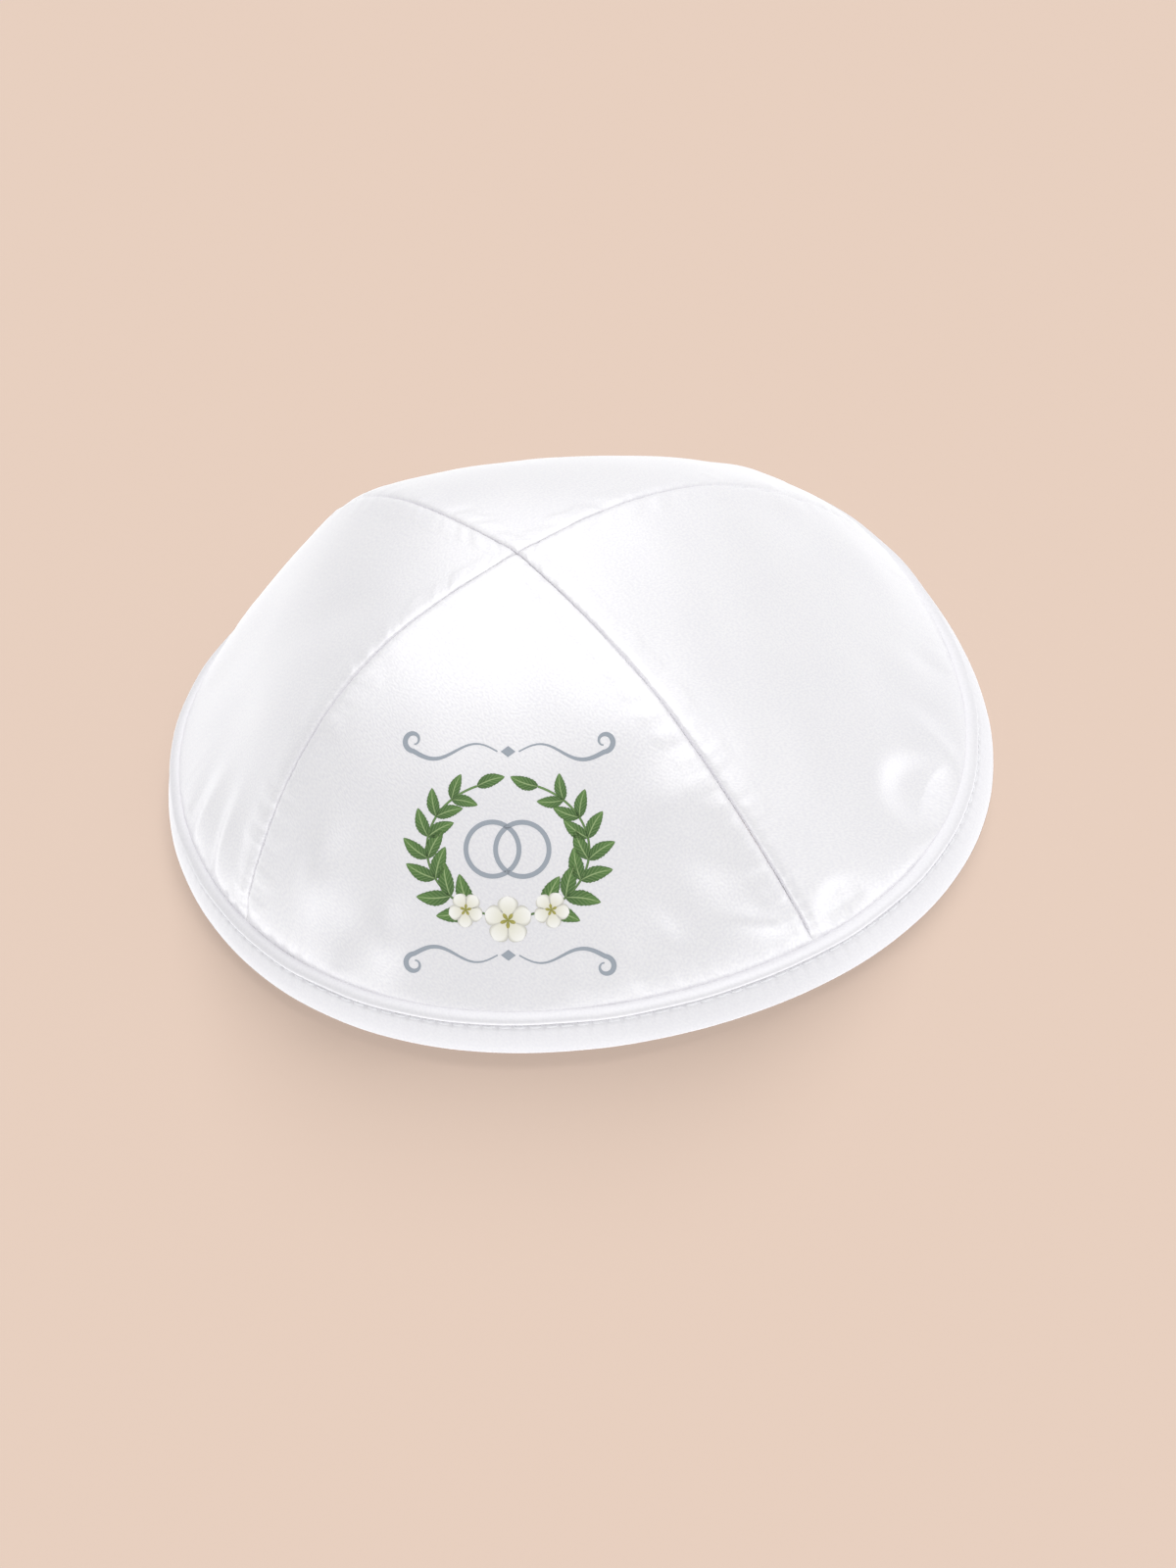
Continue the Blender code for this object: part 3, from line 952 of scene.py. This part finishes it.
@dataclass
class WreathPrint:
    """Generic transfer print on the front panel: leaves and blossom round two linked rings."""

    panel: Panel
    across: float = 0.525  # place of the wreath's middle on the panel, as shares of it
    up: float = 0.455
    lift: float = 0.05 * MM  # of the ink over the satin
    wreath: tuple[float, float] = (16.5 * MM, 13.5 * MM)  # half its width and half its height
    branch_reach: float = 158.0  # degrees from the wreath's foot up each side
    leaf: tuple[float, float] = (7.4 * MM, 3.5 * MM)  # length and width
    leaf_tip: float = 0.42  # how far towards its tip a leaf is widest
    leaf_teeth: int = 9
    leaf_spreads: tuple[float, float] = (38.0, -44.0)  # degrees from the branch
    stem_width: float = 0.45 * MM
    pairs: int = 7
    blossoms: tuple = (
        (0.0 * MM, -14.2 * MM, 4.9 * MM, 18.0),
        (-8.6 * MM, -12.2 * MM, 3.6 * MM, 50.0),
        (8.8 * MM, -12.0 * MM, 3.7 * MM, -8.0),
    )  # across, up, petal length, turn in degrees
    ring_radius: float = 5.4 * MM
    ring_width: float = 0.95 * MM
    ring_shift: float = 0.56  # from the middle to each side, in ring radii
    flourish: tuple[float, float] = (21.5 * MM, 2.1 * MM)  # reach to each side, curl radius
    flourish_start: float = 2.2 * MM
    flourish_up: tuple = ((19.4 * MM, 1), (-21.2 * MM, -1))  # height, and way that it curls

    def strip(self, line: ndarray, width: ndarray, closed: bool = False) -> tuple:
        """Makes a ribbon along a line.

        Args:
            line: points of the line, across and up.
            width: the ribbon's width at each point.
            closed: whether the line ends where it starts.

        Returns:
            The ribbon's points by row and column, and their UV places.
        """
        along = np.gradient(line, axis=0)
        if closed:
            along[0] = along[-1] = line[1] - line[-2]
        along /= np.linalg.norm(along, axis=1, keepdims=True)
        aside = np.stack([-along[:, 1], along[:, 0]], axis=1)
        sides = np.linspace(-1.0, 1.0, 4)
        points = line[:, None] + aside[:, None] * (width[:, None] * sides / 2)[..., None]
        share = np.linspace(0.0, 1.0, len(line))
        return points, np.stack(np.broadcast_arrays(share[:, None], sides), axis=-1)

    def blade(self, at: ndarray, turn: float, long: float, wide: float, round_tip: float,
              teeth: int = 0) -> tuple:
        """Makes a leaf or a petal.

        Args:
            at: its root, across and up.
            turn: its direction in radians, anticlockwise from the right.
            long: its length.
            wide: its width.
            round_tip: how far towards its tip it is widest, from 0.3 to 0.8.
            teeth: how many notches its edges have.

        Returns:
            The shape's points by row and column, and their UV places.
        """
        share = np.linspace(0.0, 1.0, 41 if teeth else 15)
        power = math.log(0.5) / math.log(round_tip)
        half = wide / 2 * np.sin(np.pi * share**power) ** (0.75 if teeth else 0.62)
        if teeth:
            half = half * (1.0 - 0.13 * (share * teeth % 1.0))
        sides = np.linspace(-1.0, 1.0, 7)
        bow = 0.05 * long * np.sin(np.pi * share)
        flat_x = np.broadcast_to((share * long)[:, None], (len(share), 7))
        flat_y = half[:, None] * sides + bow[:, None] * (1.0 if teeth else 0.0)
        points = np.stack(
            [
                at[0] + flat_x * math.cos(turn) - flat_y * math.sin(turn),
                at[1] + flat_x * math.sin(turn) + flat_y * math.cos(turn),
            ],
            axis=-1,
        )
        return points, np.stack(np.broadcast_arrays(share[:, None], sides), axis=-1)

    def branch_point(self, degrees: ndarray, side: int) -> ndarray:
        """Points on the wreath at angles up from its foot, on the right (1) or left (-1)."""
        angle = np.radians(np.asarray(degrees) - 90.0)
        wide, high = self.wreath
        return np.stack([side * wide * np.cos(angle), high * np.sin(angle)], axis=-1)

    def leaves(self) -> list[tuple]:
        """Shapes of the two branches: a stem each, pairs of leaves and a leaf at the tip."""
        shapes, (long, wide) = [], self.leaf
        tip_and_teeth = self.leaf_tip, self.leaf_teeth
        for side in (1, -1):
            stem = self.branch_point(np.linspace(4.0, self.branch_reach, 40), side)
            shapes.append(self.strip(stem, np.full(40, self.stem_width)))
            for number in range(self.pairs):
                degrees = 27.0 + number * (self.branch_reach - 30.0) / self.pairs
                root = self.branch_point(degrees, side)
                ahead = self.branch_point(degrees + 1.0, side) - root
                turn = math.atan2(ahead[1], ahead[0])
                size = 1.0 - 0.045 * number
                for spread in self.leaf_spreads:
                    lean = math.radians(spread + 5.0 * math.sin(3.0 * number + side + spread))
                    shapes.append(self.blade(root, turn + lean, long * size, wide * size,
                                             *tip_and_teeth))
            tip = self.branch_point(self.branch_reach, side)
            ahead = tip - self.branch_point(self.branch_reach - 1.0, side)
            turn = math.atan2(ahead[1], ahead[0])
            shapes.append(self.blade(tip, turn, 0.8 * long, 0.8 * wide, *tip_and_teeth))
        return shapes

    def rosettes(self, shift: float, long: float, wide: float, round_tip: float) -> list[tuple]:
        """Shapes of five blades round the middle of each blossom.

        Args:
            shift: degrees from the blossom's own turn.
            long: a blade's length, as a share of a petal's.
            wide: its width, as a share of a petal's length.
            round_tip: how far towards its tip it is widest.

        Returns:
            The shapes.
        """
        return [
            self.blade(np.array([across, up]), math.radians(first + shift + 72.0 * number),
                       long * petal, wide * petal, round_tip)
            for across, up, petal, first in self.blossoms
            for number in range(5)
        ]

    def line_work(self) -> list[tuple]:
        """Shapes of the linked rings, and of the flourishes above and below the wreath."""
        shapes = []
        circle = np.linspace(0.0, 2 * np.pi, 73)
        for shift in (-self.ring_shift, self.ring_shift):
            line = self.ring_radius * np.stack([np.cos(circle) + shift, np.sin(circle)], axis=1)
            shapes.append(self.strip(line, np.full(73, self.ring_width), closed=True))
        (reach, curl), start = self.flourish, self.flourish_start
        for height, rise in self.flourish_up:
            for side in (1, -1):
                run = np.linspace(0.0, 1.0, 30)
                sway = 1.5 * MM * np.sin(2 * np.pi * run)
                first = np.stack([start + run * (reach - curl - start), sway], axis=1)
                angle = np.linspace(-np.pi / 2, 1.45 * np.pi, 50)
                radius = curl * np.linspace(1.0, 0.35, 50)
                middle = first[-1] + (0.0, curl)
                last = middle + radius[:, None] * np.stack([np.cos(angle), np.sin(angle)], axis=1)
                line = np.concatenate([first, last[1:]]) * (side, rise) + (0.0, height)
                share = np.linspace(0.0, 1.0, len(line))
                shapes.append(self.strip(line, 0.3 * MM + 0.75 * MM * np.sin(np.pi * share) ** 2))
            stone = np.array([[-1.5 * MM, height], [0.0, height], [1.5 * MM, height]])
            shapes.append(self.strip(stone, np.array([0.02 * MM, 2.2 * MM, 0.02 * MM])))
        return shapes

    def lay(self, name: str, shapes: list[tuple], level: int, finish: Material,
            cloth: Object) -> Object:
        """Presses flat shapes onto the front panel.

        Args:
            name: the piece's name.
            shapes: points and UV places of each shape.
            level: 0 for the lowest ink, 1 for the next.
            finish: the ink.
            cloth: the front panel.

        Returns:
            The piece.
        """
        pieces = []
        for number, (points, places) in enumerate(shapes):
            layer = np.full(points.shape[:2] + (1,), number * 0.0005 * MM)
            solid = np.concatenate([points, layer], axis=-1)
            pieces.append(sewn_grid(f"{name}_{number}", solid, places))
        for piece in pieces:
            piece.select_set(True)
        bpy.ops.object.join()
        piece = bpy.context.object
        piece.name = piece.data.name = name
        around = self.panel.smooth_points(
            np.array([self.across - 0.01, self.across, self.across + 0.01]),
            np.array([self.up - 0.01, self.up, self.up + 0.01]),
        )
        right, upward = around[1, 2] - around[1, 0], around[2, 1] - around[0, 1]
        outward = Vector(np.cross(right, upward)).normalized()
        level_right = Vector((1.0, 0.0, 0.0))
        level_right = (level_right - outward * level_right.dot(outward)).normalized()
        turn = Matrix((level_right, outward.cross(level_right), outward)).transposed().to_4x4()
        place = Vector(around[1, 1]) + outward * 25 * MM
        piece.matrix_world = Matrix.Translation(place) @ turn
        wrap = piece.modifiers.new("press", "SHRINKWRAP")
        wrap.target = cloth
        wrap.wrap_method = "PROJECT"
        wrap.use_project_z = True
        wrap.use_negative_direction = True
        wrap.use_positive_direction = False
        wrap.offset = self.lift * (1.0 + 0.5 * level)
        bpy.ops.object.modifier_apply(modifier=wrap.name)
        bpy.ops.object.transform_apply()
        bpy.ops.object.shade_smooth()
        piece.data.materials.append(finish)
        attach(piece, "root")
        return piece

    def build(self, cloth: Object) -> list[Object]:
        """Prints the whole design.

        Args:
            cloth: the front panel.

        Returns:
            The pieces of ink.
        """
        green = Ink("green transfer ink", "#3d5f2c", "#5c8440", "#456a32", veins=7)
        white = Ink("cream white transfer ink", "#dedbc4", "#fcfbf7", "#cfcdc3", 0.62)
        gold = Ink("olive gold transfer ink", "#8e8e3a", "#b7ad5a", "#8e8e3a")
        slate = Ink("slate grey transfer ink", "#9fa7b1", "#9fa7b1", "#99a2ad")
        petals, hearts = self.rosettes(0.0, 1.0, 0.86, 0.66), self.rosettes(36.0, 0.34, 0.15, 0.6)
        return [
            self.lay("print_leaves", self.leaves(), 0, green.make(), cloth),
            self.lay("print_petals", petals, 1, white.make(), cloth),
            self.lay("print_flower_hearts", hearts, 2, gold.make(), cloth),
            self.lay("print_line_work", self.line_work(), 0, slate.make(), cloth),
        ]


def direction(azimuth: float, elevation: float) -> tuple[float, float, float]:
    """Unit vector towards a place round the cap.

    Args:
        azimuth: degrees towards +X from the front.
        elevation: degrees up from the floor.

    Returns:
        The vector's x, y and z.
    """
    around, above = math.radians(azimuth), math.radians(elevation)
    level = math.cos(above)
    return (math.sin(around) * level, -math.cos(around) * level, math.sin(above))


@dataclass(frozen=True)
class SoftBox:
    """A large soft light far from the cap, brightest at its middle and fading all round."""

    azimuth: float
    elevation: float
    narrowness: float
    strength: float


SOFT_BOXES = (
    SoftBox(0, 90, 4.0, 0.80),  # overhead
    SoftBox(180, 68, 12.0, 0.20),  # high behind
    SoftBox(0, -90, 2.0, 2.38),  # white table's bounce from below
    SoftBox(72, 56, 9.0, 0.60),  # high on the right
    SoftBox(0, -12, 9.0, 0.38),  # low in front
    SoftBox(-50, -10, 9.0, 0.26),  # low on the left
    SoftBox(74, -10, 14.0, 0.55),  # low on the right
    SoftBox(110, 42, 14.0, 0.24),  # half high on the right
    SoftBox(165, 16, 10.0, 0.24),  # low behind
    SoftBox(194, 41, 18.0, 0.52),  # half high behind
    SoftBox(122, -26, 14.0, 0.42),  # low behind on the right
    SoftBox(-126, -8, 8.0, 0.10),  # low behind on the left
    SoftBox(-132, -46, 16.0, 0.34),  # from below on the left
)


@dataclass
class Studio:
    """Pale paper floor, soft light from all round, and the camera at the photograph's angle."""

    form: CapForm
    azimuth: float = 14.27  # degrees towards +X from the front
    elevation: float = 43.14
    roll: float = 9.56
    lens: float = 85.5
    sensor: float = 36.0
    distance: float = 809.0 * MM  # along the view, from the camera to the foot of the cap's axis
    aside: float = -1.55 * MM  # place of that foot, right of the picture's middle
    below: float = -7.76 * MM  # and below it
    floor_size: float = 6.0
    even_light: float = 0.452
    lamp_strength: float = 3.3  # of the paper lamp that casts the cap's shadow forward
    fill_strength: float = 2.55  # of the paper lamp overhead, which casts none
    lamp_softness: float = 34.0  # degrees across, as seen from the cap
    lamp_azimuth: float = -176.0
    lamp_elevation: float = 44.0

    def add_camera(self) -> None:
        """Sets the camera at the photograph's distance, angle and roll."""
        back = Vector(direction(self.azimuth, self.elevation))
        level_right = (-back).cross(Vector((0.0, 0.0, 1.0))).normalized()
        level_down = (-back).cross(level_right)
        roll = math.radians(self.roll)
        right = level_right * math.cos(roll) + level_down * math.sin(roll)
        down = level_down * math.cos(roll) - level_right * math.sin(roll)
        middle_x, middle_y = self.form.middle()
        foot = Vector((-middle_x, -middle_y, 0.0))
        place = foot + back * self.distance - right * self.aside - down * self.below
        data = bpy.data.cameras.new("camera")
        data.lens = self.lens
        data.sensor_width = self.sensor
        camera = bpy.data.objects.new("camera", data)
        turn = Matrix((right, -down, back)).transposed().to_4x4()
        camera.matrix_world = Matrix.Translation(place) @ turn
        bpy.context.scene.collection.objects.link(camera)
        bpy.context.scene.camera = camera

    def add_floor(self) -> None:
        """Lays the plain pale floor that the cap stands on."""
        bpy.ops.object.select_all(action="DESELECT")
        bpy.ops.mesh.primitive_plane_add(size=self.floor_size)
        floor = bpy.context.object
        floor.name = "floor"
        floor.data.materials.append(PAPER.make())
        floor.visible_diffuse = floor.visible_glossy = False
        paper_only = bpy.data.collections.new("paper_only")
        paper_only.objects.link(floor)
        shadow_lamp = self.add_paper_lamp("shadow_lamp", paper_only, self.lamp_strength,
                                          self.lamp_azimuth, self.lamp_elevation)
        shadow_lamp.data.angle = math.radians(self.lamp_softness)
        fill_lamp = self.add_paper_lamp("fill_lamp", paper_only, self.fill_strength, 0.0, 90.0)
        fill_lamp.light_linking.blocker_collection = paper_only

    def add_paper_lamp(self, name: str, paper_only: Collection, strength: float,
                       azimuth: float, elevation: float) -> Object:
        """Adds a distant lamp that lights the paper alone.

        Args:
            name: the lamp's name.
            paper_only: collection that holds the paper.
            strength: the lamp's strength.
            azimuth: its direction, in degrees towards +X from the front.
            elevation: its height, in degrees.

        Returns:
            The lamp.
        """
        bpy.ops.object.light_add(type="SUN")
        lamp = bpy.context.object
        lamp.name = name
        lamp.data.energy = strength
        lamp.rotation_mode = "QUATERNION"
        towards = Vector(direction(azimuth, elevation))
        lamp.rotation_quaternion = towards.to_track_quat("Z", "Y")
        lamp.light_linking.receiver_collection = paper_only
        return lamp

    def add_surround(self) -> None:
        """Fills the studio with even white light and the soft boxes."""
        world = bpy.data.worlds.new("studio")
        world.use_nodes = True
        tree = world.node_tree
        towards = add_node(tree, "TexCoord", {}, {})
        total = add_node(tree, "Value", {}, {})
        total.outputs[0].default_value = self.even_light
        total = total.outputs[0]
        for box in SOFT_BOXES:
            middle = direction(box.azimuth, box.elevation)
            facing = add_node(tree, "VectorMath", {"operation": "DOT_PRODUCT", 1: middle},
                              {0: towards.outputs["Generated"]})
            away = add_node(tree, "Math", {"operation": "SUBTRACT", 1: 1.0},
                            {0: facing.outputs["Value"]})
            narrowed = add_node(tree, "Math", {"operation": "MULTIPLY", 1: box.narrowness},
                                {0: away.outputs[0]})
            faded = add_node(tree, "Math", {"operation": "EXPONENT"}, {0: narrowed.outputs[0]})
            added = add_node(tree, "Math", {"operation": "MULTIPLY_ADD", 1: box.strength},
                             {0: faded.outputs[0], 2: total})
            total = added.outputs[0]
        tree.links.new(total, tree.nodes["Background"].inputs["Strength"])
        tree.nodes["Background"].inputs["Color"].default_value = (1.0, 1.0, 1.0, 1.0)
        bpy.context.scene.world = world
        bpy.context.scene.view_settings.view_transform = "Standard"

    def build(self) -> None:
        """Sets up the floor, the lights and the camera."""
        self.add_camera()
        self.add_floor()
        self.add_surround()


def report(piece: Object) -> None:
    """Logs a finished piece and how many faces it has."""
    log.info("%s: %d faces", piece.name, len(piece.data.polygons))


def main() -> None:
    """Builds every piece in order."""
    logging.basicConfig(level=logging.INFO, format="%(message)s")
    form = CapForm()
    satin = Satin().make()
    binding_satin = Satin("white satin bias strip", "#f0eff2", "#ecebef", roughness=0.42,
                          lustre=0.30, grain_rise=0.03 * MM, cloud=9.0 * MM).make()
    for side in Side:
        panel = Panel(side, form, FOLDS[side])
        piece = panel.build(satin)
        report(piece)
        if side is Side.FRONT:
            for ink in WreathPrint(panel).build(piece):
                report(ink)
    binding = Binding(form)
    topstitch = Topstitch(form, binding).build(THREAD.make())
    report(topstitch)
    report(binding.build(binding_satin, topstitch))
    Studio(form).build()


if __name__ == "__main__":
    main()
